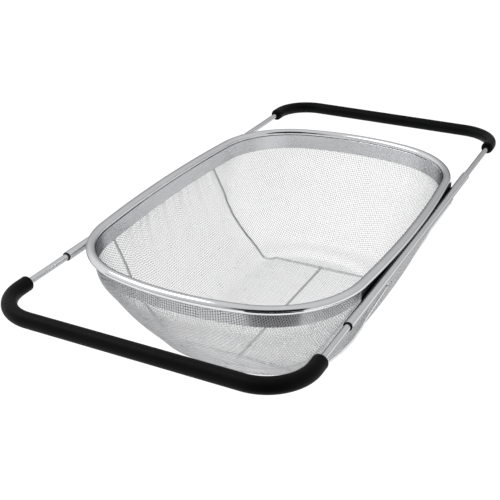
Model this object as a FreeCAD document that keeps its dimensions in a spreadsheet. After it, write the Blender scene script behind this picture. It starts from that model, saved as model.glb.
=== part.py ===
"""Over-the-sink fine mesh colander with two telescoping U-shaped handles.

Frame: +X along the basket towards the back handle, +Y to the left, +Z up.
The origin is the middle of the basket on the plane its four wire feet stand on.
The tubes and handles are set 3.6 mm back from the middle of the basket.
All sizes are millimetres. The handles are drawn part way out: the front one
45 mm and the back one 80 mm out from where their grips meet the tubes.
"""
import FreeCAD, Part
import math
import os
import Sketcher
from FreeCAD import Placement, Rotation, Vector

os.makedirs("parts", exist_ok=True)
doc = FreeCAD.newDocument("colander")

# ---------------------------------------------------------------- driving sizes
SIZES = [
    # rolled rim and the band inside it
    ("rim_half_length", 183.4),
    ("rim_half_width", 118.1),
    ("rim_side_radius", 1250.0),
    ("rim_end_radius", 228.0),
    ("rim_corner_radius", 78.0),
    ("rim_height", 110.0),
    ("bead_half_width", 3.9),
    ("bead_half_height", 3.4),
    ("bead_sheet", 0.6),
    ("band_inset", 3.4),
    ("band_sheet", 0.6),
    ("band_bottom", 94.0),
    ("band_top", 108.2),
    # woven basket
    ("mesh_inset", 2.85),
    ("mesh_thickness", 0.5),
    ("mesh_top", 107.6),
    ("mesh_bottom", 5.3),
    # tubes that guide the handles
    ("rod_height", 100.0),
    ("rod_spacing", 240.0),
    ("tube_shift", 3.6),
    ("tube_half_length", 154.6),
    ("tube_radius", 3.7),
    ("tube_bore_radius", 3.3),
    ("strip_half_length", 118.0),
    ("strip_sheet", 0.8),
    ("strip_bottom", 97.0),
    ("strip_top", 106.5),
    ("bush_bore_radius", 2.85),
    ("bush_length", 6.0),
    ("bush_lip", 0.8),
    # handles
    ("rod_radius", 2.55),
    ("rod_head_radius", 3.0),
    ("rod_head_length", 3.0),
    ("rod_reach", 150.0),
    ("grip_radius", 6.0),
    ("grip_leg", 44.5),
    ("handle_bend", 35.0),
    ("front_grip_x", 248.0),
    ("back_grip_x", 282.6),
    # wires under the basket
    ("wire_radius", 1.25),
    ("front_hoop_x", 88.0),
    ("back_hoop_x", 91.0),
    ("foot_y", 57.5),
    ("tie_overhang", 2.0),
]

sheet = doc.addObject("Spreadsheet::Sheet", "Sizes")
for row, (name, value) in enumerate(SIZES, start=1):
    sheet.set("A%d" % row, name)
    sheet.set("B%d" % row, str(value))
    sheet.setAlias("B%d" % row, name)
doc.recompute()
S = {name: sheet.get(name) for name, _ in SIZES}

HALF_SPACING = S["rod_spacing"] / 2
WIRE_GAP = 0.05

# Levels of the woven basket below the band: share of the depth, how far the
# ends and the sides have moved in, corner radius and radius of the end arcs.
BASKET_LEVELS = [
    (0.00, 0.0, 0.0, 75.15, 225.15),
    (0.20, 9.5, 3.2, 73.0, 208.0),
    (0.40, 21.5, 8.6, 71.0, 192.0),
    (0.60, 34.5, 16.6, 68.0, 176.0),
    (0.80, 49.0, 29.0, 63.0, 160.0),
    (0.92, 61.0, 41.0, 56.0, 150.0),
    (1.00, 75.0, 55.0, 46.0, 140.0),
]


# ---------------------------------------------------------------- outline maths
def outline(half_length, half_width, side_radius, end_radius, corner_radius):
    """Arcs of a rounded oblong with bulging sides, as (centre, radius, start, end)."""
    side_c = Vector(0, half_width - side_radius, 0)
    end_c = Vector(half_length - end_radius, 0, 0)
    r1 = side_radius - corner_radius
    r2 = end_radius - corner_radius
    span = end_c - side_c
    dist = span.Length
    along = (r1 * r1 - r2 * r2 + dist * dist) / (2 * dist)
    across = math.sqrt(r1 * r1 - along * along)
    unit = span / dist
    normal = Vector(-unit.y, unit.x, 0)
    corner = side_c + unit * along + normal * across
    if corner.x + corner.y < (side_c + unit * along - normal * across).x:
        corner = side_c + unit * along - normal * across
    to_side = corner - side_c
    to_end = corner - end_c
    a_side = math.atan2(to_side.y, to_side.x)
    a_end = math.atan2(to_end.y, to_end.x)
    cx, cy = corner.x, corner.y
    pi = math.pi
    return [
        (Vector(end_c.x, 0, 0), end_radius, -a_end, a_end),
        (Vector(cx, cy, 0), corner_radius, a_end, a_side),
        (Vector(0, side_c.y, 0), side_radius, a_side, pi - a_side),
        (Vector(-cx, cy, 0), corner_radius, pi - a_side, pi - a_end),
        (Vector(-end_c.x, 0, 0), end_radius, pi - a_end, pi + a_end),
        (Vector(-cx, -cy, 0), corner_radius, pi + a_end, pi + a_side),
        (Vector(0, -side_c.y, 0), side_radius, pi + a_side, 2 * pi - a_side),
        (Vector(cx, -cy, 0), corner_radius, 2 * pi - a_side, 2 * pi - a_end),
    ]


def rim_outline(inset):
    """The rim path moved inwards by inset."""
    return outline(
        S["rim_half_length"] - inset,
        S["rim_half_width"] - inset,
        S["rim_side_radius"] - inset,
        S["rim_end_radius"] - inset,
        S["rim_corner_radius"] - inset,
    )


def basket_outline(level, inset):
    """One level of the woven basket, moved inwards by inset."""
    _, end_in, side_in, corner_radius, end_radius = level
    total = S["mesh_inset"] + inset
    return outline(
        S["rim_half_length"] - total - end_in,
        S["rim_half_width"] - total - side_in,
        S["rim_side_radius"],
        end_radius - inset,
        corner_radius - inset,
    )


# ---------------------------------------------------------------- body helpers
def new_body(name):
    body = doc.addObject("PartDesign::Body", name)
    body.Label = name
    return body


def plane_of(body, role):
    for feature in body.Origin.OriginFeatures:
        if feature.Role == role:
            return feature
    raise ValueError(role)


def new_sketch(body, name, role, offset=0.0):
    sketch = doc.addObject("Sketcher::SketchObject", body.Name + "_" + name)
    body.addObject(sketch)
    sketch.AttachmentSupport = [(plane_of(body, role), "")]
    sketch.MapMode = "FlatFace"
    sketch.AttachmentOffset = Placement(Vector(0, 0, offset), Rotation())
    return sketch


def add_loop(sketch, arcs):
    """Closed loop of arcs, joined end to end."""
    ids = []
    for centre, radius, start, end in arcs:
        circle = Part.Circle(centre, Vector(0, 0, 1), radius)
        ids.append(sketch.addGeometry(Part.ArcOfCircle(circle, start, end), False))
    for first, second in zip(ids, ids[1:] + ids[:1]):
        sketch.addConstraint(Sketcher.Constraint("Coincident", first, 2, second, 1))
    return ids


def add_circle(sketch, x, y, alias):
    """Circle on a sketch whose radius follows a cell of the sheet."""
    circle = Part.Circle(Vector(x, y, 0), Vector(0, 0, 1), S[alias])
    index = sketch.addGeometry(circle, False)
    sketch.addConstraint(Sketcher.Constraint("DistanceX", -1, 1, index, 3, x))
    sketch.addConstraint(Sketcher.Constraint("DistanceY", -1, 1, index, 3, y))
    number = sketch.addConstraint(Sketcher.Constraint("Radius", index, S[alias]))
    sketch.renameConstraint(number, "radius_" + str(index))
    sketch.setExpression("Constraints.radius_" + str(index), "Sizes." + alias)
    return index


def add_polygon(sketch, points):
    """Closed polygon through the points."""
    ids = []
    for start, end in zip(points, points[1:] + points[:1]):
        line = Part.LineSegment(Vector(start[0], start[1], 0), Vector(end[0], end[1], 0))
        ids.append(sketch.addGeometry(line, False))
    for first, second in zip(ids, ids[1:] + ids[:1]):
        sketch.addConstraint(Sketcher.Constraint("Coincident", first, 2, second, 1))
    return ids


def pad(body, sketch, name, length, expression=None, symmetric=False):
    feature = doc.addObject("PartDesign::Pad", body.Name + "_" + name)
    body.addObject(feature)
    feature.Profile = sketch
    feature.Length = length
    if symmetric:
        feature.Midplane = True
    if expression:
        feature.setExpression("Length", expression)
    body.Tip = feature
    return feature


def place(item, x=0.0, y=0.0, z=0.0, z_expression=None):
    item.Placement = Placement(Vector(x, y, z), Rotation())
    if z_expression:
        item.setExpression("Placement.Base.z", z_expression)


# ---------------------------------------------------------------- rolled rim
def rolled_profile(sketch):
    """Sheet rolled into an open C around the edge; the slit faces down and inwards."""
    out_x, out_y = S["bead_half_width"], S["bead_half_height"]
    in_x, in_y = out_x - S["bead_sheet"], out_y - S["bead_sheet"]
    centre = Vector(S["rim_half_length"], 0, 0)
    outer = Part.Ellipse(centre, out_x, out_y)
    inner = Part.Ellipse(centre, in_x, in_y)
    start, end = math.radians(-105), math.radians(200)
    first = Part.ArcOfEllipse(outer, start, end)
    second = Part.ArcOfEllipse(inner, start, end)
    arc_out = sketch.addGeometry(first, False)
    arc_in = sketch.addGeometry(second, False)
    cap_a = Part.LineSegment(first.StartPoint, second.StartPoint)
    cap_b = Part.LineSegment(first.EndPoint, second.EndPoint)
    line_a = sketch.addGeometry(cap_a, False)
    line_b = sketch.addGeometry(cap_b, False)
    for left, left_end, right, right_end in (
        (arc_out, 1, line_a, 1),
        (arc_in, 1, line_a, 2),
        (arc_out, 2, line_b, 1),
        (arc_in, 2, line_b, 2),
    ):
        sketch.addConstraint(
            Sketcher.Constraint("Coincident", left, left_end, right, right_end)
        )


def make_rim():
    body = new_body("rim_bead")
    spine = new_sketch(body, "path", "XY_Plane")
    add_loop(spine, rim_outline(0.0))
    profile = new_sketch(body, "profile", "XZ_Plane")
    rolled_profile(profile)
    doc.recompute()
    pipe = doc.addObject("PartDesign::AdditivePipe", "rim_bead_pipe")
    body.addObject(pipe)
    pipe.Profile = profile
    pipe.Spine = spine
    body.Tip = pipe
    place(body, z=S["rim_height"], z_expression="Sizes.rim_height")
    return body


def make_band():
    body = new_body("inner_band")
    sketch = new_sketch(body, "ring", "XY_Plane")
    add_loop(sketch, rim_outline(S["band_inset"]))
    add_loop(sketch, rim_outline(S["band_inset"] + S["band_sheet"]))
    height = S["band_top"] - S["band_bottom"]
    pad(body, sketch, "pad", height, "Sizes.band_top - Sizes.band_bottom")
    place(body, z=S["band_bottom"], z_expression="Sizes.band_bottom")
    return body


# ---------------------------------------------------------------- woven basket
def level_height(level, drop):
    """Height of a level; drop lifts the floor without moving the band's lower edge."""
    depth = S["band_bottom"] - S["mesh_bottom"] - drop
    return S["band_bottom"] - level[0] * depth


def basket_shell(body, inset, drop, feature_type, name):
    """Loft down the straight collar behind the band and on through the levels."""
    rim_level = BASKET_LEVELS[0]
    collar = S["mesh_top"] - S["band_bottom"]
    stations = [(rim_level, S["mesh_top"] - share * collar) for share in (0, 0.35, 0.7)]
    stations += [(level, level_height(level, drop)) for level in BASKET_LEVELS]
    sections = []
    for index, (level, height) in enumerate(stations):
        sketch = new_sketch(body, "%s_%d" % (name, index), "XY_Plane", height)
        add_loop(sketch, basket_outline(level, inset))
        sections.append(sketch)
    doc.recompute()
    loft = doc.addObject(feature_type, body.Name + "_" + name)
    body.addObject(loft)
    loft.Profile = sections[0]
    loft.Sections = sections[1:]
    loft.Ruled = False
    loft.Closed = False
    body.Tip = loft
    return loft


def make_mesh():
    body = new_body("mesh_basket")
    basket_shell(body, 0.0, 0.0, "PartDesign::AdditiveLoft", "outside")
    thickness = S["mesh_thickness"]
    basket_shell(body, thickness, thickness, "PartDesign::SubtractiveLoft", "inside")
    place(body)
    return body


# ---------------------------------------------------------------- tubes
def make_strip(name, side):
    """Upright strip that hangs a guide tube from the rim."""
    body = new_body(name)
    sketch = new_sketch(body, "side", "XZ_Plane")
    half = S["strip_half_length"]
    low, high = S["strip_bottom"], S["strip_top"]
    radius = 4.0
    points = [
        (-half, high),
        (-half, low + radius),
        (-half + radius, low),
        (half - radius, low),
        (half, low + radius),
        (half, high),
    ]
    add_polygon(sketch, points)
    pad(body, sketch, "pad", S["strip_sheet"], "Sizes.strip_sheet", symmetric=True)
    offset = HALF_SPACING - S["tube_radius"] - S["strip_sheet"] / 2 - WIRE_GAP
    place(body, x=S["tube_shift"], y=side * offset)
    return body


def make_tube(name, side):
    body = new_body(name)
    sketch = new_sketch(body, "ring", "YZ_Plane")
    add_circle(sketch, 0, 0, "tube_radius")
    add_circle(sketch, 0, 0, "tube_bore_radius")
    length = 2 * S["tube_half_length"]
    pad(body, sketch, "pad", length, "2 * Sizes.tube_half_length", symmetric=True)
    place(body, S["tube_shift"], side * HALF_SPACING, S["rod_height"], "Sizes.rod_height")
    return body


def make_bush(name, end, side):
    """Guide ring pressed into one mouth of a tube, with a thin lip outside."""
    body = new_body(name)
    sketch = new_sketch(body, "section", "XZ_Plane")
    bore = S["bush_bore_radius"]
    barrel = S["tube_bore_radius"]
    lip = S["tube_radius"] - 0.1
    mouth = S["tube_half_length"]
    inside = end * (mouth - S["bush_length"])
    outside = end * (mouth + S["bush_lip"])
    points = [
        (inside, bore),
        (outside, bore),
        (outside, lip),
        (end * mouth, lip),
        (end * mouth, barrel),
        (inside, barrel),
    ]
    add_polygon(sketch, points)
    turn = doc.addObject("PartDesign::Revolution", body.Name + "_turn")
    body.addObject(turn)
    turn.Profile = sketch
    turn.ReferenceAxis = (sketch, ["H_Axis"])
    turn.Angle = 360.0
    body.Tip = turn
    place(body, S["tube_shift"], side * HALF_SPACING, S["rod_height"], "Sizes.rod_height")
    return body


# ---------------------------------------------------------------- handles
def handle_path(sketch, end, grip_x, leg_end_x):
    """U path of a handle: leg, bend, cross bar, bend, leg."""
    bend = S["handle_bend"]
    near = grip_x - bend
    half = HALF_SPACING
    flat = half - bend
    pi = math.pi
    legs = [
        Part.LineSegment(Vector(end * leg_end_x, half, 0), Vector(end * near, half, 0)),
        Part.LineSegment(Vector(end * grip_x, flat, 0), Vector(end * grip_x, -flat, 0)),
        Part.LineSegment(Vector(end * near, -half, 0), Vector(end * leg_end_x, -half, 0)),
    ]
    top = Part.Circle(Vector(end * near, flat, 0), Vector(0, 0, 1), bend)
    low = Part.Circle(Vector(end * near, -flat, 0), Vector(0, 0, 1), bend)
    if end > 0:
        bends = [Part.ArcOfCircle(top, 0, pi / 2), Part.ArcOfCircle(low, 1.5 * pi, 2 * pi)]
        links = ((0, 2, 3, 2), (3, 1, 1, 1), (1, 2, 4, 2), (4, 1, 2, 1))
    else:
        bends = [Part.ArcOfCircle(top, pi / 2, pi), Part.ArcOfCircle(low, pi, 1.5 * pi)]
        links = ((0, 2, 3, 1), (3, 2, 1, 1), (1, 2, 4, 1), (4, 2, 2, 1))
    for piece in legs + bends:
        sketch.addGeometry(piece, False)
    for first, first_end, second, second_end in links:
        sketch.addConstraint(
            Sketcher.Constraint("Coincident", first, first_end, second, second_end)
        )


def swept_handle(name, end, grip_x, leg_end_x, radii):
    body = new_body(name)
    spine = new_sketch(body, "path", "XY_Plane")
    handle_path(spine, end, grip_x, leg_end_x)
    profile = new_sketch(body, "profile", "YZ_Plane", end * leg_end_x)
    for alias in radii:
        add_circle(profile, HALF_SPACING, 0, alias)
    doc.recompute()
    pipe = doc.addObject("PartDesign::AdditivePipe", body.Name + "_pipe")
    body.addObject(pipe)
    pipe.Profile = profile
    pipe.Spine = spine
    body.Tip = pipe
    place(body, S["tube_shift"], 0.0, S["rod_height"], "Sizes.rod_height")
    return body


def make_rod(name, end, grip_x):
    """Bent rod whose two inner ends are upset into heads that can't pass the bushes."""
    tip_x = grip_x - S["rod_reach"]
    body = swept_handle(name, end, grip_x, tip_x, ["rod_radius"])
    start = end * (tip_x + S["rod_head_length"] / 2)
    heads = new_sketch(body, "heads", "YZ_Plane", start)
    add_circle(heads, HALF_SPACING, 0, "rod_head_radius")
    add_circle(heads, -HALF_SPACING, 0, "rod_head_radius")
    length = S["rod_head_length"]
    pad(body, heads, "heads_pad", length, "Sizes.rod_head_length", symmetric=True)
    return body


def make_grip(name, end, grip_x):
    """Soft tube over the cross bar and both bends."""
    return swept_handle(name, end, grip_x, grip_x - S["grip_leg"], ["grip_radius", "rod_radius"])


# ---------------------------------------------------------------- wires
def bent_path(points, radii):
    """Straight runs joined by tangent bends."""
    edges = []
    start = points[0]
    for before, corner, after, radius in zip(points, points[1:], points[2:], radii):
        into = (corner - before).normalize()
        away = (after - corner).normalize()
        turn = math.acos(max(-1.0, min(1.0, into.dot(away))))
        setback = radius * math.tan(turn / 2)
        arc_start = corner - into * setback
        arc_end = corner + away * setback
        middle_dir = (away - into).normalize()
        centre = corner + middle_dir * (radius / math.cos(turn / 2))
        arc_middle = centre - middle_dir * radius
        edges.append(Part.LineSegment(start, arc_start).toShape())
        edges.append(Part.Arc(arc_start, arc_middle, arc_end).toShape())
        start = arc_end
    edges.append(Part.LineSegment(start, points[-1]).toShape())
    return Part.Wire(edges), (points[1] - points[0]).normalize()


def swept_wire(name, points, radii):
    """Round wire bent along the points."""
    path, direction = bent_path(points, radii)
    section = Part.Wire([Part.Circle(points[0], direction, S["wire_radius"]).toShape()])
    solid = path.makePipeShell([section], True, False)
    item = doc.addObject("Part::Feature", name)
    item.Label = name
    item.Shape = solid
    place(item)
    return item


def side_at(mesh, x, z):
    """Half width of the basket outside at a station and height."""
    ray = Part.LineSegment(Vector(x, 0, z), Vector(x, 200, z)).toShape()
    hits = ray.common(mesh)
    return max(vertex.Y for vertex in hits.Vertexes)


def leg_points(mesh, side, foot_x, top_x):
    """Leg of a hoop from under the guide tube down the basket side."""
    low_z, high_z = 13.0, 64.0
    points = []
    top_z = S["rod_height"] - S["tube_radius"] - 3.4 * S["wire_radius"]
    points.append(Vector(top_x, side * (HALF_SPACING + 0.6), top_z))
    for z in (high_z, 54.0, 43.0, 32.0, 22.0, low_z):
        share = max(0.0, min(1.0, (z - low_z) / (top_z - low_z)))
        x = foot_x + (top_x - foot_x) * share
        y = side_at(mesh, x, z)
        slope_z = (side_at(mesh, x, z + 1) - side_at(mesh, x, z - 1)) / 2
        slope_x = (side_at(mesh, x + 1, z) - side_at(mesh, x - 1, z)) / 2
        stretch = math.sqrt(1 + slope_z * slope_z + slope_x * slope_x)
        clear = S["wire_radius"] + 0.45
        points.append(Vector(x, side * (y + clear * stretch), z))
    return points


def make_hoop(name, mesh, x, top_left, top_right):
    """Wire under the basket: two legs, two feet bent down, one floor run."""
    foot = S["foot_y"]
    radius = S["wire_radius"]
    run_z = S["mesh_bottom"] - radius - WIRE_GAP - 0.05
    foot_profile = [(foot + 4.6, radius), (foot - 4.6, radius), (foot - 10.0, run_z)]
    left = leg_points(mesh, 1, x, top_left)
    right = leg_points(mesh, -1, x, top_right)
    left += [Vector(x, y, z) for y, z in foot_profile]
    right += [Vector(x, -y, z) for y, z in foot_profile]
    points = left + right[::-1]
    wall = [24.0, 40.0, 40.0, 40.0, 40.0, 12.0]
    feet = [2.6, 2.6, 4.0]
    radii = wall + feet + feet[::-1] + wall[::-1]
    return swept_wire(name, points, radii)


def make_rail(name, side, front_x, back_x):
    """Straight wire along the underside of a guide tube, joining the hoop legs."""
    reach = S["tube_radius"] + S["wire_radius"] + WIRE_GAP
    out = 1.2
    down = math.sqrt(reach * reach - out * out)
    rail = doc.addObject("Part::Cylinder", name)
    rail.Label = name
    rail.Radius = S["wire_radius"]
    rail.setExpression("Radius", "Sizes.wire_radius")
    rail.Height = back_x - front_x
    start = Vector(front_x, side * (HALF_SPACING + out), S["rod_height"] - down)
    rail.Placement = Placement(start, Rotation(Vector(0, 1, 0), 90))
    return rail


def make_tie(name):
    """Straight wire under both hoops along the middle of the floor."""
    radius = S["wire_radius"]
    height = S["mesh_bottom"] - 3 * radius - 2 * WIRE_GAP - 0.05
    tie = doc.addObject("Part::Cylinder", name)
    tie.Label = name
    tie.Radius = radius
    tie.setExpression("Radius", "Sizes.wire_radius")
    tie.Height = S["front_hoop_x"] + S["back_hoop_x"] + 2 * S["tie_overhang"]
    start = Vector(-S["front_hoop_x"] - S["tie_overhang"], 0, height)
    tie.Placement = Placement(start, Rotation(Vector(0, 1, 0), 90))
    return tie


# ---------------------------------------------------------------- build
nodes = [make_rim(), make_band()]
mesh_body = make_mesh()
nodes.append(mesh_body)
doc.recompute()

SIDES = (("left", 1), ("right", -1))
ENDS = (("front", -1), ("back", 1))
for side_name, side in SIDES:
    nodes.append(make_strip("side_strip_" + side_name, side))
    nodes.append(make_tube("guide_tube_" + side_name, side))
    for end_name, end in ENDS:
        nodes.append(make_bush("bush_%s_%s" % (end_name, side_name), end, side))

for end_name, end in ENDS:
    grip_x = S[end_name + "_grip_x"]
    nodes.append(make_rod("handle_rod_" + end_name, end, grip_x))
    nodes.append(make_grip("grip_" + end_name, end, grip_x))

# The wire frame sits a little askew: on the right its tops lean to the back.
LEG_TOPS = {
    "front": {"left": -88.0, "right": -69.0},
    "back": {"left": 91.0, "right": 107.5},
}
mesh_shape = mesh_body.Shape
for end_name, end in ENDS:
    tops = LEG_TOPS[end_name]
    hoop_x = end * S[end_name + "_hoop_x"]
    nodes.append(make_hoop("hoop_" + end_name, mesh_shape, hoop_x, tops["left"], tops["right"]))
for side_name, side in SIDES:
    front_x = LEG_TOPS["front"][side_name] - 2.0
    back_x = LEG_TOPS["back"][side_name] + 2.0
    nodes.append(make_rail("side_rail_" + side_name, side, front_x, back_x))
nodes.append(make_tie("floor_tie"))
doc.recompute()

# ---------------------------------------------------------------- checks, export
for item in doc.Objects:
    bad = [state for state in item.State if state in ("Invalid", "Error")]
    if bad:
        raise RuntimeError("%s is %s" % (item.Label, bad))
for node in nodes:
    shape = node.Shape
    if shape.isNull() or not shape.isValid():
        raise RuntimeError("bad shape: " + node.Label)
    if shape.Volume <= 0:
        raise RuntimeError("no volume: " + node.Label)
for node in nodes:
    node.Shape.exportStep("parts/%s.step" % node.Label)
    box = node.Shape.BoundBox
    print(
        "%-18s solids %d  x %.1f..%.1f  y %.1f..%.1f  z %.2f..%.2f  volume %.0f"
        % (
            node.Label,
            len(node.Shape.Solids),
            box.XMin,
            box.XMax,
            box.YMin,
            box.YMax,
            box.ZMin,
            box.ZMax,
            node.Shape.Volume,
        )
    )
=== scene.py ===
"""Visual model of the over-the-sink mesh colander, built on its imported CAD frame.

Lengths named in millimetres are turned into metres by MM. The row frame has +X
towards the back handle, +Y to the left, +Z up, and its origin on the foot plane.
"""

import math

import bpy
import numpy as np
from mathutils import Matrix, Vector
from mathutils.bvhtree import BVHTree


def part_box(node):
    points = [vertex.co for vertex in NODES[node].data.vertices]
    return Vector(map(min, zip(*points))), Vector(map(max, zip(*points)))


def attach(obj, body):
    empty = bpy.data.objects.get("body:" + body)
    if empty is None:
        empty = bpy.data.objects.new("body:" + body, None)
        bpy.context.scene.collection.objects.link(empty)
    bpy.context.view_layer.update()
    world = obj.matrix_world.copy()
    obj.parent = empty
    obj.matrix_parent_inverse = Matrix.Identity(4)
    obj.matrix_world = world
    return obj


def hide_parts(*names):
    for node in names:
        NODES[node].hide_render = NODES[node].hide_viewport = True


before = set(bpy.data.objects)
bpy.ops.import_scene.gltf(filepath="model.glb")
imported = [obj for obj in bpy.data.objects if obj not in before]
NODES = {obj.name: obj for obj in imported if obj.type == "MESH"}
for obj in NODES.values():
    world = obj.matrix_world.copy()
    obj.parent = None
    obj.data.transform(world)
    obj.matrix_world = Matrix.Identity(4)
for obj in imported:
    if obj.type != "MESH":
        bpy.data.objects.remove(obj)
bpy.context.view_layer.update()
MM = 0.001

# ---------------------------------------------------------------- sizes, as in the CAD
RIM_HALF_LENGTH, RIM_HALF_WIDTH = 183.4, 118.1
RIM_SIDE_RADIUS, RIM_END_RADIUS, RIM_CORNER_RADIUS = 1250.0, 228.0, 78.0
RIM_HEIGHT = 110.0
BEAD_HALF_WIDTH, BEAD_HALF_HEIGHT, BEAD_SHEET = 3.9, 3.4, 0.6
BAND_INSET, BAND_SHEET, BAND_BOTTOM, BAND_TOP = 3.4, 0.6, 94.0, 108.2
ROD_HEIGHT, HALF_SPACING = 100.0, 120.0
TUBE_HALF_LENGTH, TUBE_RADIUS, TUBE_BORE = 154.6, 3.7, 3.3
TUBE_SHIFT = 3.6
BUSH_BORE, BUSH_LENGTH, BUSH_LIP = 2.85, 6.0, 0.8
ROD_RADIUS, ROD_HEAD_RADIUS, ROD_HEAD_LENGTH, ROD_REACH = 2.55, 3.0, 3.0, 150.0
GRIP_RADIUS, GRIP_LEG, HANDLE_BEND = 6.0, 44.5, 35.0
GRIP_ROUND, GRIP_MOUTH = 1.5, 3.0
ROD_SIDES, GRIP_SIDES = 32, 40
ROD_STEP, GRIP_STEP, NO_STATIONS_BETWEEN = 2.4, 1.6, 1e9
GRIP_X = {"front": 248.0, "back": 282.6}
WIRE_PITCH, WIRE_RADIUS = 2.1, 0.18
MESH_TOP = 107.4

# ---------------------------------------------------------------- camera
CAMERA_PLACE = Vector((-0.68354, -0.31064, 0.44176))
CAMERA_RIGHT = Vector((0.44751, -0.89428, -0.00142))
CAMERA_DOWN = Vector((-0.40219, -0.19984, -0.89348))
FOCAL_PIXELS, FRAME_PIXELS, SENSOR = 939.76, 500.0, 36.0

# ---------------------------------------------------------------- light
FLOOR_GLOW = 0.97
SKY_LOW, SKY_HIGH, SKY_LEFT = (0.55, 0.55, 0.56), (0.70, 0.70, 0.71), (0.90, 0.90, 0.91)
LEFT_AIM, LEFT_REACH = (95.0, 20.0), (20.0, 60.0)
DARK_AIM, DARK_REACH = (-150.0, 20.0), (31.0, 36.0)
CARD_FROM, CARD = (-0.165, -0.075, 0.001), (0.13, 3.0, 0.10, 1.6)


def make_camera():
    data = bpy.data.cameras.new("camera")
    data.sensor_width = SENSOR
    data.lens = SENSOR * FOCAL_PIXELS / FRAME_PIXELS
    data.clip_start, data.clip_end = 0.01, 50.0
    camera = bpy.data.objects.new("camera", data)
    right = CAMERA_RIGHT.normalized()
    up = -CAMERA_DOWN.normalized()
    back = right.cross(up)
    turn = Matrix((right, up, back)).transposed()
    camera.matrix_world = Matrix.Translation(CAMERA_PLACE) @ turn.to_4x4()
    bpy.context.scene.collection.objects.link(camera)
    bpy.context.scene.camera = camera


# ---------------------------------------------------------------- material helpers
def new_material(name, **constants):
    """Principled material; constants are set on the shader's own sockets."""
    material = bpy.data.materials.new(name)
    material.use_nodes = True
    tree = material.node_tree
    shader = tree.nodes["Principled BSDF"]
    for socket, value in constants.items():
        shader.inputs[socket.replace("_", " ")].default_value = value
    return material, tree, shader


def coordinates(tree, kind, scale):
    """Texture coordinates in metres, scaled to features per metre."""
    place = tree.nodes.new("ShaderNodeMapping")
    place.inputs["Scale"].default_value = scale
    if kind == "UV":
        source = tree.nodes.new("ShaderNodeUVMap")
        source.uv_map = "Surface"
        tree.links.new(source.outputs["UV"], place.inputs["Vector"])
    else:
        source = tree.nodes.new("ShaderNodeTexCoord")
        tree.links.new(source.outputs["Object"], place.inputs["Vector"])
    return place.outputs["Vector"]


def noise(tree, vector, scale, detail=3.0, roughness=0.55):
    node = tree.nodes.new("ShaderNodeTexNoise")
    node.inputs["Scale"].default_value = scale
    node.inputs["Detail"].default_value = detail
    node.inputs["Roughness"].default_value = roughness
    tree.links.new(vector, node.inputs["Vector"])
    return node.outputs["Fac"]


def remap(tree, value, low_in, high_in, low_out, high_out):
    node = tree.nodes.new("ShaderNodeMapRange")
    node.inputs["From Min"].default_value = low_in
    node.inputs["From Max"].default_value = high_in
    node.inputs["To Min"].default_value = low_out
    node.inputs["To Max"].default_value = high_out
    tree.links.new(value, node.inputs["Value"])
    return node.outputs["Result"]


def mix_colour(tree, factor, first, second):
    node = tree.nodes.new("ShaderNodeMix")
    node.data_type = "RGBA"
    node.inputs["A"].default_value = (*first, 1.0)
    node.inputs["B"].default_value = (*second, 1.0)
    tree.links.new(factor, node.inputs["Factor"])
    return node.outputs["Result"]


def add_maths(tree, operation, first, second):
    node = tree.nodes.new("ShaderNodeMath")
    node.operation = operation
    tree.links.new(first, node.inputs[0])
    if isinstance(second, float):
        node.inputs[1].default_value = second
    else:
        tree.links.new(second, node.inputs[1])
    return node.outputs["Value"]


def bump(tree, shader, height, strength, distance):
    node = tree.nodes.new("ShaderNodeBump")
    node.inputs["Strength"].default_value = strength
    node.inputs["Distance"].default_value = distance
    tree.links.new(height, node.inputs["Height"])
    tree.links.new(node.outputs["Normal"], shader.inputs["Normal"])


def steel(name, dark, light, rough, edge, kind="UV", grain=(30.0, 4000.0, 1.0), depth=2e-6):
    """Stainless steel: drawing lines along the piece, faint handling marks and haze.
    The edge colour is what it reflects at a glancing angle."""
    material, tree, shader = new_material(name, Metallic=1.0)
    shader.inputs["Specular Tint"].default_value = (*edge, 1.0)
    along = coordinates(tree, kind, grain)
    lines = noise(tree, along, 1.0, 4.0, 0.6)
    haze = noise(tree, coordinates(tree, kind, (1.0, 1.0, 1.0)), 38.0, 3.0, 0.5)
    marks = noise(tree, coordinates(tree, kind, (220.0, 900.0, 220.0)), 1.0, 5.0, 0.7)
    spread = add_maths(tree, "ADD", lines, haze)
    tint = remap(tree, spread, 0.7, 1.3, 0.0, 1.0)
    tree.links.new(mix_colour(tree, tint, dark, light), shader.inputs["Base Color"])
    worn = remap(tree, add_maths(tree, "MULTIPLY", marks, haze), 0.12, 0.42, rough[0], rough[1])
    tree.links.new(worn, shader.inputs["Roughness"])
    bump(tree, shader, lines, 0.35, depth)
    return material


def wire_steel(name):
    """Bright drawn wire: colour and roughness change slowly from place to place."""
    material, tree, shader = new_material(name, Metallic=1.0)
    shader.inputs["Specular Tint"].default_value = (0.35, 0.35, 0.35, 1.0)
    patches = noise(tree, coordinates(tree, "Object", (1.0, 1.0, 1.0)), 60.0, 3.0, 0.6)
    tint = remap(tree, patches, 0.3, 0.7, 0.0, 1.0)
    colours = mix_colour(tree, tint, (0.57, 0.575, 0.585), (0.67, 0.67, 0.675))
    tree.links.new(colours, shader.inputs["Base Color"])
    tree.links.new(remap(tree, patches, 0.3, 0.7, 0.24, 0.36), shader.inputs["Roughness"])
    return material


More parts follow.
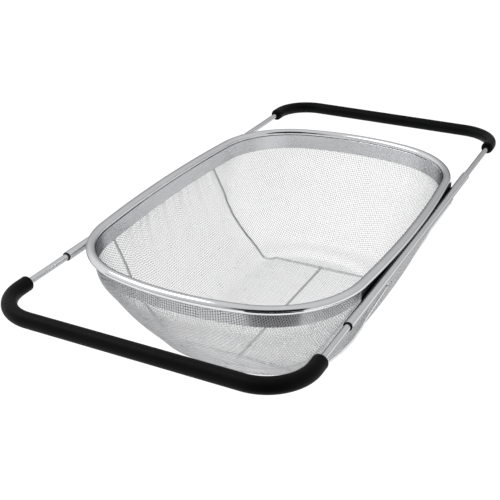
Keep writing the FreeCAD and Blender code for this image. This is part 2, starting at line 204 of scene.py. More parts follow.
def rubber(name):
    """Matte black soft sleeve: fine pores and a faint dusty haze."""
    material, tree, shader = new_material(name, Specular_IOR_Level=0.08)
    where = coordinates(tree, "Object", (1.0, 1.0, 1.0))
    haze = noise(tree, where, 45.0, 4.0, 0.6)
    pores = noise(tree, where, 2600.0, 2.0, 0.5)
    skin = noise(tree, where, 700.0, 4.0, 0.6)
    tint = remap(tree, haze, 0.3, 0.75, 0.0, 1.0)
    colours = mix_colour(tree, tint, (0.0016, 0.0017, 0.0019), (0.0036, 0.0037, 0.0041))
    tree.links.new(colours, shader.inputs["Base Color"])
    tree.links.new(remap(tree, skin, 0.3, 0.7, 0.42, 0.60), shader.inputs["Roughness"])
    bump(tree, shader, add_maths(tree, "ADD", pores, skin), 0.5, 3e-5)
    return material


def black_plastic(name):
    material, tree, shader = new_material(name)
    where = coordinates(tree, "Object", (1.0, 1.0, 1.0))
    grain = noise(tree, where, 1800.0, 3.0, 0.6)
    tint = remap(tree, grain, 0.3, 0.7, 0.0, 1.0)
    colours = mix_colour(tree, tint, (0.012, 0.012, 0.013), (0.022, 0.022, 0.024))
    tree.links.new(colours, shader.inputs["Base Color"])
    tree.links.new(remap(tree, grain, 0.3, 0.7, 0.38, 0.5), shader.inputs["Roughness"])
    bump(tree, shader, grain, 0.3, 1e-5)
    return material


# ---------------------------------------------------------------- mesh helpers
def new_piece(name, points, faces, uvs, material, body, replaced=(), sharp=35.0):
    """Mesh object that rides on a body and stands for CAD nodes."""
    mesh = bpy.data.meshes.new(name)
    points = np.asarray(points, np.float32).reshape(-1, 3)
    faces = np.asarray(faces, np.int32)
    count, corners = faces.shape
    mesh.vertices.add(len(points))
    mesh.vertices.foreach_set("co", points.ravel())
    mesh.loops.add(count * corners)
    mesh.loops.foreach_set("vertex_index", faces.ravel())
    mesh.polygons.add(count)
    mesh.polygons.foreach_set("loop_start", np.arange(0, count * corners, corners, dtype=np.int32))
    mesh.polygons.foreach_set("use_smooth", np.ones(count, bool))
    mesh.update(calc_edges=True)
    if uvs is not None:
        layer = mesh.uv_layers.new(name="Surface")
        layer.data.foreach_set("uv", np.asarray(uvs, np.float32).ravel())
    mesh.validate()
    if sharp:
        mesh.set_sharp_from_angle(angle=math.radians(sharp))
    piece = bpy.data.objects.new(name, mesh)
    bpy.context.scene.collection.objects.link(piece)
    mesh.materials.append(material)
    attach(piece, body)
    if replaced:
        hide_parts(*replaced)
    return piece


def grid_faces(rows, columns, closed_rows, closed_columns):
    """Quads between neighbouring rings, and the (row, column) of each corner."""
    last_row = rows if closed_rows else rows - 1
    last_column = columns if closed_columns else columns - 1
    r, c = np.meshgrid(np.arange(last_row), np.arange(last_column), indexing="ij")
    r, c = r.ravel(), c.ravel()
    corner_r = np.stack([r, r + 1, r + 1, r], 1)
    corner_c = np.stack([c, c, c + 1, c + 1], 1)
    faces = (corner_r % rows) * columns + corner_c % columns
    return faces, corner_r, corner_c


def swept(name, rings, closed_path, material, body, replaced, sharp=35.0):
    """Skin over rings, an array (stations, points, 3) in metres."""
    rings = np.asarray(rings, float)
    rows, columns = rings.shape[:2]
    faces, corner_r, corner_c = grid_faces(rows, columns, closed_path, True)
    middle = rings.mean(1)
    steps = np.linalg.norm(np.diff(np.vstack([middle, middle[:1]]), axis=0), axis=1)
    along = np.concatenate([[0.0], np.cumsum(steps)])
    widest = rings[rows // 2]
    around_steps = np.linalg.norm(np.diff(np.vstack([widest, widest[:1]]), axis=0), axis=1)
    around = np.concatenate([[0.0], np.cumsum(around_steps)])
    uvs = np.stack([along[corner_r], around[corner_c]], -1)
    return new_piece(name, rings, faces, uvs, material, body, replaced, sharp)


# ---------------------------------------------------------------- rounded oblong
def outline(half_length, half_width, side_radius, end_radius, corner_radius):
    """Arcs of the oblong as (centre x, centre y, radius, start, end)."""
    side_y = half_width - side_radius
    end_x = half_length - end_radius
    r1 = side_radius - corner_radius
    r2 = end_radius - corner_radius
    dist = math.hypot(end_x, side_y)
    along = (r1 * r1 - r2 * r2 + dist * dist) / (2 * dist)
    across = math.sqrt(r1 * r1 - along * along)
    unit = (end_x / dist, -side_y / dist)
    choices = []
    for sign in (1, -1):
        x = unit[0] * along - sign * unit[1] * across
        y = side_y + unit[1] * along + sign * unit[0] * across
        choices.append((x + y, x, y))
    _, cx, cy = max(choices)
    a_side = math.atan2(cy - side_y, cx)
    a_end = math.atan2(cy, cx - end_x)
    pi = math.pi
    return [
        (end_x, 0.0, end_radius, -a_end, a_end),
        (cx, cy, corner_radius, a_end, a_side),
        (0.0, side_y, side_radius, a_side, pi - a_side),
        (-cx, cy, corner_radius, pi - a_side, pi - a_end),
        (-end_x, 0.0, end_radius, pi - a_end, pi + a_end),
        (-cx, -cy, corner_radius, pi + a_end, pi + a_side),
        (0.0, -side_y, side_radius, pi + a_side, 2 * pi - a_side),
        (cx, -cy, corner_radius, 2 * pi - a_side, 2 * pi - a_end),
    ]


def around_rim(section, height, step=2.2):
    """Rings of a section (outward, up) carried round the rim path, in metres."""
    arcs = outline(
        RIM_HALF_LENGTH, RIM_HALF_WIDTH, RIM_SIDE_RADIUS, RIM_END_RADIUS, RIM_CORNER_RADIUS
    )
    out, up = np.array(section, float).T
    rings = []
    for cx, cy, radius, start, end in arcs:
        count = max(2, int(math.ceil(radius * (end - start) / step)))
        for k in range(count):
            angle = start + (end - start) * k / count
            reach = radius + out
            x = cx + reach * math.cos(angle)
            y = cy + reach * math.sin(angle)
            rings.append(np.stack([x, y, height + up], 1))
    return np.array(rings) * MM


def make_rim(material):
    """Sheet rolled into an open C, its slit facing down and inwards."""
    turns = np.radians(np.linspace(-105.0, 200.0, 64))
    out_x, out_y = BEAD_HALF_WIDTH, BEAD_HALF_HEIGHT
    outer = [(out_x * math.cos(t), out_y * math.sin(t)) for t in turns]
    in_x, in_y = out_x - BEAD_SHEET, out_y - BEAD_SHEET
    inner = [(in_x * math.cos(t), in_y * math.sin(t)) for t in turns[::-1]]
    rings = around_rim(outer + inner, RIM_HEIGHT)
    return swept("rim_rolled", rings, True, material, "basket", ["rim_bead"])


def make_band(material):
    """Flat band with softly broken edges, inside the mesh."""
    out, inn = -BAND_INSET, -BAND_INSET - BAND_SHEET
    low, high, soft = BAND_BOTTOM, BAND_TOP, 0.12
    levels = np.linspace(low + soft, high - soft, 8)
    section = [(out, z) for z in levels]
    section += [(out - soft, high), (inn + soft, high)]
    section += [(inn, z) for z in levels[::-1]]
    section += [(inn + soft, low), (out - soft, low)]
    rings = around_rim(section, 0.0)
    return swept("band_smooth", rings, True, material, "basket", ["inner_band"])


# ---------------------------------------------------------------- turned pieces on X
def turned(name, section, y, z, material, body, replaced, sides=48):
    """Closed section of (x, radius) turned about an axis along X."""
    angles = np.linspace(0.0, 2 * math.pi, sides, endpoint=False)
    rings = []
    for x, radius in section:
        ring = np.stack(
            [np.full(sides, x + TUBE_SHIFT), y + radius * np.cos(angles), z + radius * np.sin(angles)], 1
        )
        rings.append(ring)
    rings = np.array(rings) * MM
    return swept(name, rings, True, material, body, replaced)


def make_tubes(steel_material, plastic):
    soft = 0.1
    for side_name, side in (("left", 1), ("right", -1)):
        y, end = side * HALF_SPACING, TUBE_HALF_LENGTH
        stations = np.linspace(-end + soft, end - soft, 24)
        section = [(x, TUBE_RADIUS) for x in stations]
        section += [(end, TUBE_RADIUS - soft), (end, TUBE_BORE)]
        section += [(-end, TUBE_BORE), (-end, TUBE_RADIUS - soft)]
        turned(
            "tube_" + side_name, section, y, ROD_HEIGHT, steel_material,
            "basket", ["guide_tube_" + side_name],
        )
        for end_name, sign in (("front", -1), ("back", 1)):
            inside, mouth = end - BUSH_LENGTH, end
            outside, lip = end + BUSH_LIP, TUBE_RADIUS - 0.1
            section = [
                (inside, BUSH_BORE + 0.15),
                (inside + 0.3, BUSH_BORE),
                (outside - 0.25, BUSH_BORE),
                (outside, BUSH_BORE + 0.25),
                (outside, lip - 0.25),
                (outside - 0.1, lip - 0.07),
                (outside - 0.3, lip),
                (mouth + 0.02, lip),
                (mouth + 0.02, TUBE_BORE - 0.02),
                (inside, TUBE_BORE - 0.02),
            ]
            section = [(sign * x, radius) for x, radius in section]
            name = "bush_%s_%s" % (end_name, side_name)
            turned(
                "ring_" + name, section[:: -sign], y, ROD_HEIGHT, plastic,
                "basket", [name],
            )


def make_strips(material):
    """Thin upright strips with rounded lower corners and broken edges."""
    for side_name in ("left", "right"):
        node = "side_strip_" + side_name
        low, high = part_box(node)
        corner, soft = 4.0 * MM, 0.12 * MM
        points = []
        for cx, start in ((high.x - corner, -90.0), (low.x + corner, 180.0)):
            turn = np.radians(np.linspace(start, start + 90.0, 9))
            points.append([(cx + corner * math.cos(t), low.z + corner * (1 + math.sin(t))) for t in turn])
        border = points[0] + [(high.x, high.z), (low.x, high.z)] + points[1]
        border = np.array(border)
        middle = border.mean(0)
        layers = []
        for depth, inset in ((low.y, soft), (low.y + soft, 0.0), (high.y - soft, 0.0), (high.y, soft)):
            away = border - middle
            away /= np.linalg.norm(away, axis=1)[:, None]
            moved = border - away * inset
            layers.append(np.stack([moved[:, 0], np.full(len(moved), depth), moved[:, 1]], 1))
        count = len(border)
        rings = np.array(layers)
        faces, _, _ = grid_faces(4, count, False, True)
        centre_low = [middle[0], low.y, middle[1]]
        centre_high = [middle[0], high.y, middle[1]]
        everything = np.vstack([rings.reshape(-1, 3), [centre_low, centre_high]])
        near = np.arange(count)
        after = (near + 1) % count
        first, last = 4 * count, 4 * count + 1
        caps = [(first, b, a, a) for a, b in zip(near, after)]
        caps += [(last, 3 * count + a, 3 * count + b, 3 * count + b) for a, b in zip(near, after)]
        quads = [tuple(face) for face in faces[:, ::-1]]
        triangles = [face[:3] for face in caps]
        mesh = bpy.data.meshes.new("strip_" + side_name)
        mesh.from_pydata(everything.tolist(), [], quads + triangles)
        layer = mesh.uv_layers.new(name="Surface")
        for loop in mesh.loops:
            x, _, z = mesh.vertices[loop.vertex_index].co
            layer.data[loop.index].uv = (x, z)
        for polygon in mesh.polygons:
            polygon.use_smooth = True
        mesh.set_sharp_from_angle(angle=math.radians(30.0))
        mesh.materials.append(material)
        piece = bpy.data.objects.new("strip_" + side_name, mesh)
        bpy.context.scene.collection.objects.link(piece)
        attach(piece, "basket")
        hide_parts(node)


# ---------------------------------------------------------------- handles
def handle_stations(end, grip_x, leg_end, marks, step=GRIP_STEP):
    """Points and tangents along the U path; marks are distances from a leg's end that
    get a station of their own at both ends."""
    bend = HANDLE_BEND
    leg = (grip_x - bend) - leg_end
    quarter = bend * math.pi / 2
    bar = 2 * (HALF_SPACING - bend)
    total = 2 * leg + 2 * quarter + bar
    stations = set(np.round(marks, 4)) | set(np.round([total - m for m in marks], 4))
    inner = np.arange(max(marks), total - max(marks), step)
    stations |= set(np.round(inner, 4))
    points, tangents, reach = [], [], sorted(stations)
    for s in reach:
        if s < leg:
            p, t = (leg_end + s, HALF_SPACING), (1.0, 0.0)
        elif s < leg + quarter:
            a = (s - leg) / bend
            p = (grip_x - bend + bend * math.sin(a), HALF_SPACING - bend + bend * math.cos(a))
            t = (math.cos(a), -math.sin(a))
        elif s < leg + quarter + bar:
            p = (grip_x, HALF_SPACING - bend - (s - leg - quarter))
            t = (0.0, -1.0)
        elif s < total - leg:
            a = (s - leg - quarter - bar) / bend
            p = (grip_x - bend + bend * math.cos(a), -HALF_SPACING + bend - bend * math.sin(a))
            t = (-math.sin(a), -math.cos(a))
        else:
            p, t = (grip_x - bend - (s - (total - leg)), -HALF_SPACING), (-1.0, 0.0)
        points.append((TUBE_SHIFT + end * p[0], p[1], ROD_HEIGHT))
        tangents.append((end * t[0], t[1], 0.0))
    return np.array(points), np.array(tangents), np.array(reach), total


def swept_round(points, tangents, radii, sides):
    """Rings of a round section along a flat path."""
    up = np.array([0.0, 0.0, 1.0])
    angles = np.linspace(0.0, 2 * math.pi, sides, endpoint=False)
    rings = []
    for point, tangent, radius in zip(points, tangents, radii):
        across = np.cross(up, tangent)
        ring = point + radius * (np.outer(np.cos(angles), across) + np.outer(np.sin(angles), up))
        rings.append(ring)
    return np.array(rings) * MM


def close_ends(rings):
    """Adds a ring shrunk to a point at each end, so that the skin is closed."""
    first = np.repeat(rings[:1].mean(1, keepdims=True), rings.shape[1], 1)
    last = np.repeat(rings[-1:].mean(1, keepdims=True), rings.shape[1], 1)
    return np.concatenate([first, rings, last])


def make_rod(end_name, end, material):
    """Bent bar with a domed upset head on each inner end."""
    grip_x = GRIP_X[end_name]
    head, length = ROD_HEAD_RADIUS, ROD_HEAD_LENGTH
    shape = [
        (0.0, head - 0.9), (0.12, head - 0.45), (0.4, head - 0.12), (0.8, head),
        (length - 0.3, head), (length, head - 0.15), (length + 0.25, ROD_RADIUS),
    ]
    marks = [s for s, _ in shape]
    points, tangents, reach, total = handle_stations(
        end, grip_x, grip_x - ROD_REACH, marks, ROD_STEP
    )
    where = np.minimum(reach, total - reach)
    radii = np.interp(where, marks, [r for _, r in shape])
    rings = close_ends(swept_round(points, tangents, radii, ROD_SIDES))
    swept(
        "rod_" + end_name, rings, False, material,
        end_name + "_handle", ["handle_rod_" + end_name],
    )


def make_sleeve(end_name, end, material):
    """Soft sleeve with rolled ends and a bore round the rod."""
    grip_x = GRIP_X[end_name]
    radius = GRIP_RADIUS
    shape = [(0.0, radius - GRIP_ROUND)]
    for degrees in np.linspace(15.0, 90.0, 6):
        turn = math.radians(degrees)
        shape.append((GRIP_ROUND * (1 - math.cos(turn)), radius - GRIP_ROUND * (1 - math.sin(turn))))
    shape += [(GRIP_MOUTH, radius)]
    marks = [s for s, _ in shape]
    points, tangents, reach, total = handle_stations(end, grip_x, grip_x - GRIP_LEG, marks)
    where = np.minimum(reach, total - reach)
    radii = np.interp(where, marks, [r for _, r in shape])
    outer = swept_round(points, tangents, radii, GRIP_SIDES)
    mouth = [(GRIP_MOUTH, ROD_RADIUS + 0.03), (0.35, ROD_RADIUS + 0.05), (0.0, ROD_RADIUS + 0.4)]
    marks = [s for s, _ in mouth][::-1]
    points, tangents, _, _ = handle_stations(
        end, grip_x, grip_x - GRIP_LEG, marks, NO_STATIONS_BETWEEN
    )
    half = len(mouth)
    radii = [r for _, r in mouth]
    lead = swept_round(points[:half][::-1], tangents[:half][::-1], radii, GRIP_SIDES)
    tail = swept_round(points[-half:][::-1], tangents[-half:][::-1], radii[::-1], GRIP_SIDES)
    rings = np.concatenate([lead, outer, tail])
    swept(
        "sleeve_" + end_name, rings, False, material,
        end_name + "_handle", ["grip_" + end_name],
    )


# ---------------------------------------------------------------- woven basket
DRAPE_CENTRE = 94.0 * MM
TABLE_SIZE = 180
QUARTER = math.pi / 2
TABLE_SMOOTHING = 6
BLANK = (136, 96)
BLANK_SECTIONS, BLANK_LATITUDES, ABOVE_MOUTH = 90, 400, 0.3
START_COARSE = 8
COARSE_ROUNDS, FINE_ROUNDS = 500, 200
HIGHEST, HIGHEST_PER_COARSE = 0.130, 0.004
SHEAR_SPRING, LOCK_SHARE = 0.05, 0.75
SPEED_KEPT, FORCE_SHARE = 0.9, 0.6
STATION_SHARES = (-0.22, 0.22)
WALL_DEPTH, FLOOR_DEPTH = -0.05, -0.25
EASE_FROM, EASE_OVER = 0.02, 0.04
WIRE_GROUPS, WIRE_SIDES = 7, 6
SHORTEST_WIRE = 4
TINY = 1e-12


def radial_table():
    """Distance from a point inside the mouth to the outside of the CAD basket, by
    longitude and latitude over one quarter, eased along latitude at the floor's edge."""
    mesh = NODES["mesh_basket"].data
    centre = Vector((0.0, 0.0, DRAPE_CENTRE))
    outside = [
        tuple(p.vertices) for p in mesh.polygons if p.normal.dot(p.center - centre) > 0
    ]
    tree = BVHTree.FromPolygons([v.co for v in mesh.vertices], outside)
    table = np.zeros((TABLE_SIZE + 1, TABLE_SIZE + 1))
    tiny = 1e-4
    for a in range(TABLE_SIZE + 1):
        lon = min(max(a / TABLE_SIZE * QUARTER, tiny), QUARTER - tiny)
        for b in range(TABLE_SIZE + 1):
            lat = max(b / TABLE_SIZE * QUARTER - QUARTER, tiny - QUARTER)
            flat = math.cos(lat)
            aim = Vector((flat * math.cos(lon), flat * math.sin(lon), math.sin(lat)))
            table[a, b] = tree.ray_cast(centre, aim)[3]
    for _ in range(TABLE_SMOOTHING):
        inner = 0.25 * table[:, :-2] + 0.5 * table[:, 1:-1] + 0.25 * table[:, 2:]
        table[:, 1:-1] = inner
    return table


class Surface:
    """Outside of the basket, carried straight up past its top edge."""

    def __init__(self):
        self.table = radial_table()

    def reach(self, lon, lat):
        last = TABLE_SIZE - 1e-6
        u = np.clip(lon / QUARTER * TABLE_SIZE, 0, last)
        v = np.clip((lat + QUARTER) / QUARTER * TABLE_SIZE, 0, last)
        a, b = u.astype(int), v.astype(int)
        fu, fv = u - a, v - b
        low = self.table[a, b] * (1 - fu) + self.table[a + 1, b] * fu
        high = self.table[a, b + 1] * (1 - fu) + self.table[a + 1, b + 1] * fu
        return low * (1 - fv) + high * fv

    def project(self, points):
        x, y = np.abs(points[..., 0]), np.abs(points[..., 1])
        z = points[..., 2] - DRAPE_CENTRE
        flat = np.hypot(x, y) + TINY
        lat = np.minimum(np.arctan2(z, flat), 0.0)
        reach = self.reach(np.arctan2(y, x), lat)
        scale = np.where(z >= 0, reach / flat, reach / np.sqrt(flat**2 + z**2))
        height = np.where(z >= 0, points[..., 2], DRAPE_CENTRE + z * scale)
        return np.stack([points[..., 0] * scale, points[..., 1] * scale, height], -1)


def first_blank(surface, pitch, counts):
    """Grid of crossings laid out by distance down each radial section."""
    i, j = np.meshgrid(np.arange(counts[0] + 1), np.arange(counts[1] + 1), indexing="ij")
    distance = np.hypot(i, j) * pitch
    lon = np.arctan2(j, i + TINY)
    lats = np.linspace(-QUARTER, 0.0, BLANK_LATITUDES)
    share = np.clip(lon / QUARTER * BLANK_SECTIONS, 0, BLANK_SECTIONS - 0.001)
    before = share.astype(int)
    out = np.zeros(distance.shape)
    up = np.zeros(distance.shape)
    for m in range(BLANK_SECTIONS + 1):
        reach = surface.reach(np.full(lats.shape, m / BLANK_SECTIONS * QUARTER), lats)
        flat, height = reach * np.cos(lats), DRAPE_CENTRE + reach * np.sin(lats)
        run = np.concatenate([[0.0], np.cumsum(np.hypot(np.diff(flat), np.diff(height)))])
        run = np.append(run, run[-1] + ABOVE_MOUTH)
        flat, height = np.append(flat, flat[-1]), np.append(height, height[-1] + ABOVE_MOUTH)
        for shift in (0, 1):
            chosen = before == m - shift
            weight = share - before if shift else 1 - (share - before)
            out[chosen] += weight[chosen] * np.interp(distance[chosen], run, flat)
            up[chosen] += weight[chosen] * np.interp(distance[chosen], run, height)
    return surface.project(np.stack([out * np.cos(lon), out * np.sin(lon), up], -1))


def relax(surface, points, pitch, rounds, highest):
    """Cloth-like rest of the net: cells keep their pitch, shear freely, then lock."""
    speed = np.zeros_like(points)
    inside = points[..., 2] < highest
    every = slice(None)
    first, last = slice(None, -1), slice(1, None)
    diagonal = pitch * math.sqrt(2)
    links = [
        ((first, every), (last, every), 1.0, pitch),
        ((every, first), (every, last), 1.0, pitch),
        ((first, first), (last, last), SHEAR_SPRING, diagonal),
        ((last, first), (first, last), SHEAR_SPRING, diagonal),
    ]
    for _ in range(rounds):
        force = np.zeros_like(points)
        weight = np.full(points.shape[:2], 1e-9)

        def pull(start, end, stiff, rest, active):
            span = points[end] - points[start]
            length = np.linalg.norm(span, axis=-1) + TINY
            share = np.where(active, stiff * (length - rest) / length, 0.0)
            force[start] += share[..., None] * span
            force[end] -= share[..., None] * span
            weight[start] += stiff * active
            weight[end] += stiff * active
            return length

        for start, end, stiff, rest in links:
            active = inside[start] & inside[end]
            length = pull(start, end, stiff, rest, active)
            if rest > pitch:
                locked = active & (length < LOCK_SHARE * pitch)
                pull(start, end, 1.0, LOCK_SHARE * pitch, locked)
        around = np.pad(points, ((1, 1), (1, 1), (0, 0)), mode="edge")
        normal = np.cross(
            around[2:, 1:-1] - around[:-2, 1:-1], around[1:-1, 2:] - around[1:-1, :-2]
        )
        normal /= np.linalg.norm(normal, axis=-1, keepdims=True) + TINY
        force -= normal * (force * normal).sum(-1, keepdims=True)
        speed = SPEED_KEPT * speed + FORCE_SHARE * force / weight[..., None]
        speed[0, :, 0] = 0
        speed[:, 0, 1] = 0
        points = points + speed * inside[..., None]
        points[0, :, 0] = 0
        points[:, 0, 1] = 0
        points = surface.project(points)
    return points


def refine(surface, points):
    finer = np.zeros((2 * points.shape[0] - 1, 2 * points.shape[1] - 1, 3))
    finer[::2, ::2] = points
    finer[1::2, ::2] = (points[:-1] + points[1:]) / 2
    finer[:, 1::2] = (finer[:, :-2:2] + finer[:, 2::2]) / 2
    return surface.project(finer)


def draped_net():
    """Crossings of the whole woven net, (i, j) from one edge to the other, in metres."""
    surface = Surface()
    pitch, coarse = WIRE_PITCH * MM, START_COARSE
    points = first_blank(surface, pitch * coarse, [n // coarse for n in BLANK])
    while True:
        rounds = COARSE_ROUNDS if coarse > 1 else FINE_ROUNDS
        highest = HIGHEST + HIGHEST_PER_COARSE * coarse
        points = relax(surface, points, pitch * coarse, rounds, highest)
        if coarse == 1:
            break
        coarse //= 2
        points = refine(surface, points)
    flip_x, flip_y = np.array([-1.0, 1.0, 1.0]), np.array([1.0, -1.0, 1.0])
    half = np.concatenate([(points * flip_x)[:0:-1], points])
    return np.concatenate([(half * flip_y)[:, :0:-1], half], axis=1)


def net_normals(net):
    around = np.pad(net, ((1, 1), (1, 1), (0, 0)), mode="edge")
    normal = np.cross(around[2:, 1:-1] - around[:-2, 1:-1], around[1:-1, 2:] - around[1:-1, :-2])
    normal /= np.linalg.norm(normal, axis=-1, keepdims=True) + TINY
    inward = np.array([0.0, 0.0, DRAPE_CENTRE]) - net
    return np.where((normal * inward).sum(-1, keepdims=True) > 0, normal, -normal)


def wire_rings(line, normal, parity, sides):
    """Rings of one crimped wire: two stations per crossing, over and under in turn."""
    steps = np.gradient(line, axis=0)
    tangent = steps / (np.linalg.norm(steps, axis=1, keepdims=True) + TINY)
    across = np.cross(normal, tangent)
    across /= np.linalg.norm(across, axis=1, keepdims=True) + TINY
    lift = (parity * WIRE_RADIUS * MM)[:, None] * normal
    angles = np.linspace(0.0, 2 * math.pi, sides, endpoint=False)
    circle = WIRE_RADIUS * MM * (
        np.cos(angles)[None, :, None] * across[:, None] + np.sin(angles)[None, :, None] * normal[:, None]
    )
    rings = []
    for share in STATION_SHARES:
        rings.append((line + lift + steps * share)[:, None] + circle)
    return np.stack(rings, 1).reshape(-1, sides, 3)


def make_basket(material):
    """Woven wires of the basket, in groups: those along it and those across it."""
    net = draped_net()
    normals = net_normals(net)
    height = net[..., 2]
    ease = np.clip((height - EASE_FROM) / EASE_OVER, 0, 1)
    level = FLOOR_DEPTH + (WALL_DEPTH - FLOOR_DEPTH) * ease * ease * (3 - 2 * ease)
    net = net - normals * (level * MM)[..., None]
    inside = height < MESH_TOP * MM
    rows, columns = net.shape[:2]
    row_index, column_index = np.meshgrid(np.arange(rows), np.arange(columns), indexing="ij")
    parity = np.where((row_index + column_index) % 2 == 0, 1.0, -1.0)
    for family in ("long", "cross"):
        if family == "long":
            lines, line_normals, keep, over = (
                net.transpose(1, 0, 2), normals.transpose(1, 0, 2), inside.T, parity.T,
            )
        else:
            lines, line_normals, keep, over = net, normals, inside, -parity
        wires = []
        for line, normal, kept, lift in zip(lines, line_normals, keep, over):
            if kept.sum() < SHORTEST_WIRE:
                continue
            chosen = np.flatnonzero(kept)
            span = slice(chosen[0], chosen[-1] + 1)
            wires.append(wire_rings(line[span], normal[span], lift[span], WIRE_SIDES))
        sizes = np.cumsum([len(w) for w in wires])
        share = sizes[-1] / WIRE_GROUPS
        for group in range(WIRE_GROUPS):
            part = [
                w for w, reached in zip(wires, sizes)
                if share * group < reached <= share * (group + 1) + 1e-6
            ]
            points, faces, base = [], [], 0
            for rings in part:
                quads, _, _ = grid_faces(len(rings), WIRE_SIDES, False, True)
                points.append(rings.reshape(-1, 3))
                faces.append(quads + base)
                base += len(rings) * WIRE_SIDES
            name = "wires_%s_%d" % (family, group + 1)
            new_piece(
                name, np.concatenate(points), np.concatenate(faces), None, material,
                "basket", ["mesh_basket"], None,
            )


# ---------------------------------------------------------------- surroundings
def flat_quad(name, corners, colour, glow):
    mesh = bpy.data.meshes.new(name)
    mesh.from_pydata(corners, [], [(0, 1, 2, 3)])
    quad = bpy.data.objects.new(name, mesh)
    bpy.context.scene.collection.objects.link(quad)
    material, tree, shader = new_material(name + "_paint", Roughness=0.9)
    shader.inputs["Base Color"].default_value = (*colour, 1.0)
    shader.inputs["Specular IOR Level"].default_value = 0.0
    shader.inputs["Emission Color"].default_value = (1.0, 1.0, 1.0, 1.0)
    shader.inputs["Emission Strength"].default_value = glow
    mesh.materials.append(material)
    return quad


def make_stage():
    """Plain white floor that glows a little, like a lit sweep under a product, and a
    black card in front of the object that only shows in reflections."""
    reach = 6.0
    corners = [(-reach, -reach, 0), (reach, -reach, 0), (reach, reach, 0), (-reach, reach, 0)]
    floor = flat_quad("floor", corners, (0.14, 0.14, 0.14), FLOOR_GLOW)
    floor.location.z = -0.0004
    near, far, narrow, wide = CARD
    azimuth = math.radians(DARK_AIM[0])
    ahead = Vector((math.cos(azimuth), math.sin(azimuth), 0.0))
    aside = Vector((-ahead.y, ahead.x, 0.0))
    start = Vector(CARD_FROM)
    corners = [
        start + ahead * near - aside * narrow,
        start + ahead * near + aside * narrow,
        start + ahead * far + aside * wide,
        start + ahead * far - aside * wide,
    ]
    card = flat_quad("card", corners, (0.01, 0.01, 0.01), 0.0)
    card.visible_camera = False
    card.visible_diffuse = False
    card.visible_shadow = False
    card.visible_transmission = False


def sky_patch(tree, where, below, aim, reach, colour):
    """Round soft patch of the sky: aim is azimuth and elevation, reach the angles from
    its middle at which it is full and gone."""
    azimuth, elevation = (math.radians(v) for v in aim)
    closeness = tree.nodes.new("ShaderNodeVectorMath")
    closeness.operation = "DOT_PRODUCT"
    closeness.inputs[1].default_value = (
        math.cos(elevation) * math.cos(azimuth),
        math.cos(elevation) * math.sin(azimuth),
        math.sin(elevation),
    )
    tree.links.new(where, closeness.inputs[0])
    full, gone = (math.cos(math.radians(v)) for v in reach)
    share = remap(tree, closeness.outputs["Value"], gone, full, 0.0, 1.0)
    mixed = tree.nodes.new("ShaderNodeMix")
    mixed.data_type = "RGBA"
    mixed.inputs["B"].default_value = (*colour, 1.0)
    tree.links.new(share, mixed.inputs["Factor"])
    tree.links.new(below, mixed.inputs["A"])
    return mixed.outputs["Result"]


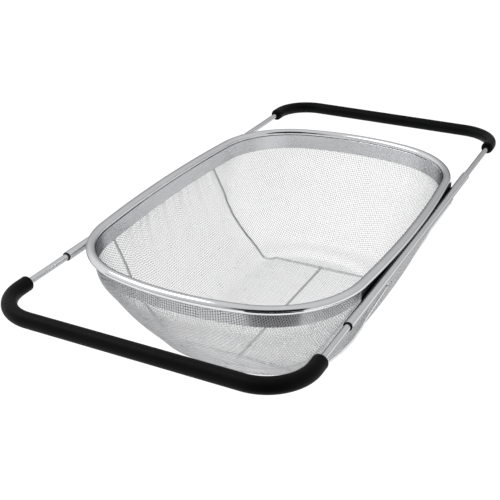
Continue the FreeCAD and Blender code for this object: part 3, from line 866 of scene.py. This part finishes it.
def make_world():
    """Soft studio sky: grey low down, lighter overhead, bright on the left and dark
    behind the camera's place. Seen straight on, the backdrop is plain white."""
    world = bpy.data.worlds.new("studio")
    bpy.context.scene.world = world
    world.use_nodes = True
    tree = world.node_tree
    background = tree.nodes["Background"]
    where = tree.nodes.new("ShaderNodeTexCoord").outputs["Generated"]
    split = tree.nodes.new("ShaderNodeSeparateXYZ")
    ramp = tree.nodes.new("ShaderNodeValToRGB")
    tree.links.new(where, split.inputs["Vector"])
    tree.links.new(split.outputs["Z"], ramp.inputs["Fac"])
    stops = ramp.color_ramp.elements
    stops[0].position, stops[0].color = 0.0, (*SKY_LOW, 1.0)
    stops[1].position, stops[1].color = 1.0, (*SKY_HIGH, 1.0)
    sky = sky_patch(tree, where, ramp.outputs["Color"], LEFT_AIM, LEFT_REACH, SKY_LEFT)
    sky = sky_patch(tree, where, sky, DARK_AIM, DARK_REACH, (0.015, 0.015, 0.015))
    straight = tree.nodes.new("ShaderNodeLightPath")
    seen = tree.nodes.new("ShaderNodeMix")
    seen.data_type = "RGBA"
    seen.inputs["B"].default_value = (1.0, 1.0, 1.0, 1.0)
    tree.links.new(straight.outputs["Is Camera Ray"], seen.inputs["Factor"])
    tree.links.new(sky, seen.inputs["A"])
    tree.links.new(seen.outputs["Result"], background.inputs["Color"])
    background.inputs["Strength"].default_value = 1.0


def add_area(name, place, target, size, power):
    data = bpy.data.lights.new(name, "AREA")
    data.shape = "RECTANGLE"
    data.size, data.size_y = size
    data.energy = power
    light = bpy.data.objects.new(name, data)
    light.location = place
    aim = Vector(target) - Vector(place)
    light.rotation_mode = "QUATERNION"
    light.rotation_quaternion = aim.to_track_quat("-Z", "Y")
    bpy.context.scene.collection.objects.link(light)


# ---------------------------------------------------------------- build
make_camera()
make_stage()
make_world()
add_area("key", (-0.3, 0.9, 1.5), (0, 0, 0.05), (0.8, 0.8), 7.0)
bpy.context.scene.view_settings.view_transform = "Standard"

shade = (0.30, 0.30, 0.31)
rim_steel = steel("rim_steel", (0.76, 0.765, 0.775), (0.84, 0.845, 0.85), (0.05, 0.11), shade)
band_steel = steel(
    "band_steel", (0.655, 0.665, 0.680), (0.680, 0.685, 0.700), (0.17, 0.20), shade, depth=4e-7
)
tube_steel = steel("tube_steel", (0.78, 0.785, 0.795), (0.86, 0.865, 0.87), (0.16, 0.26), shade)
# Painted shade: the side strips get a near-black steel colour that stands in for the shadow and dark
# reflections in the gap between the rim and the tubes.
strip_steel = steel("strip_steel", (0.12, 0.12, 0.125), (0.20, 0.20, 0.205), (0.22, 0.34), shade)
rod_steel = steel("rod_steel", (0.72, 0.725, 0.735), (0.82, 0.825, 0.83), (0.10, 0.20), shade)
frame_wire = steel(
    "frame_wire", (0.70, 0.705, 0.715), (0.80, 0.805, 0.81), (0.16, 0.28), shade,
    kind="Object", grain=(900.0, 900.0, 900.0),
)
make_rim(rim_steel)
make_band(band_steel)
black = black_plastic("black_plastic")
make_tubes(tube_steel, black)
make_strips(strip_steel)
sleeve = rubber("soft_black")
for end_name, end in (("front", -1), ("back", 1)):
    make_rod(end_name, end, rod_steel)
    make_sleeve(end_name, end, sleeve)
make_basket(wire_steel("woven_wire"))
for name in ("hoop_front", "hoop_back", "side_rail_left", "side_rail_right", "floor_tie"):
    slots = NODES[name].material_slots
    for index in range(len(slots)):
        slots[index].link = "OBJECT"
        slots[index].material = frame_wire
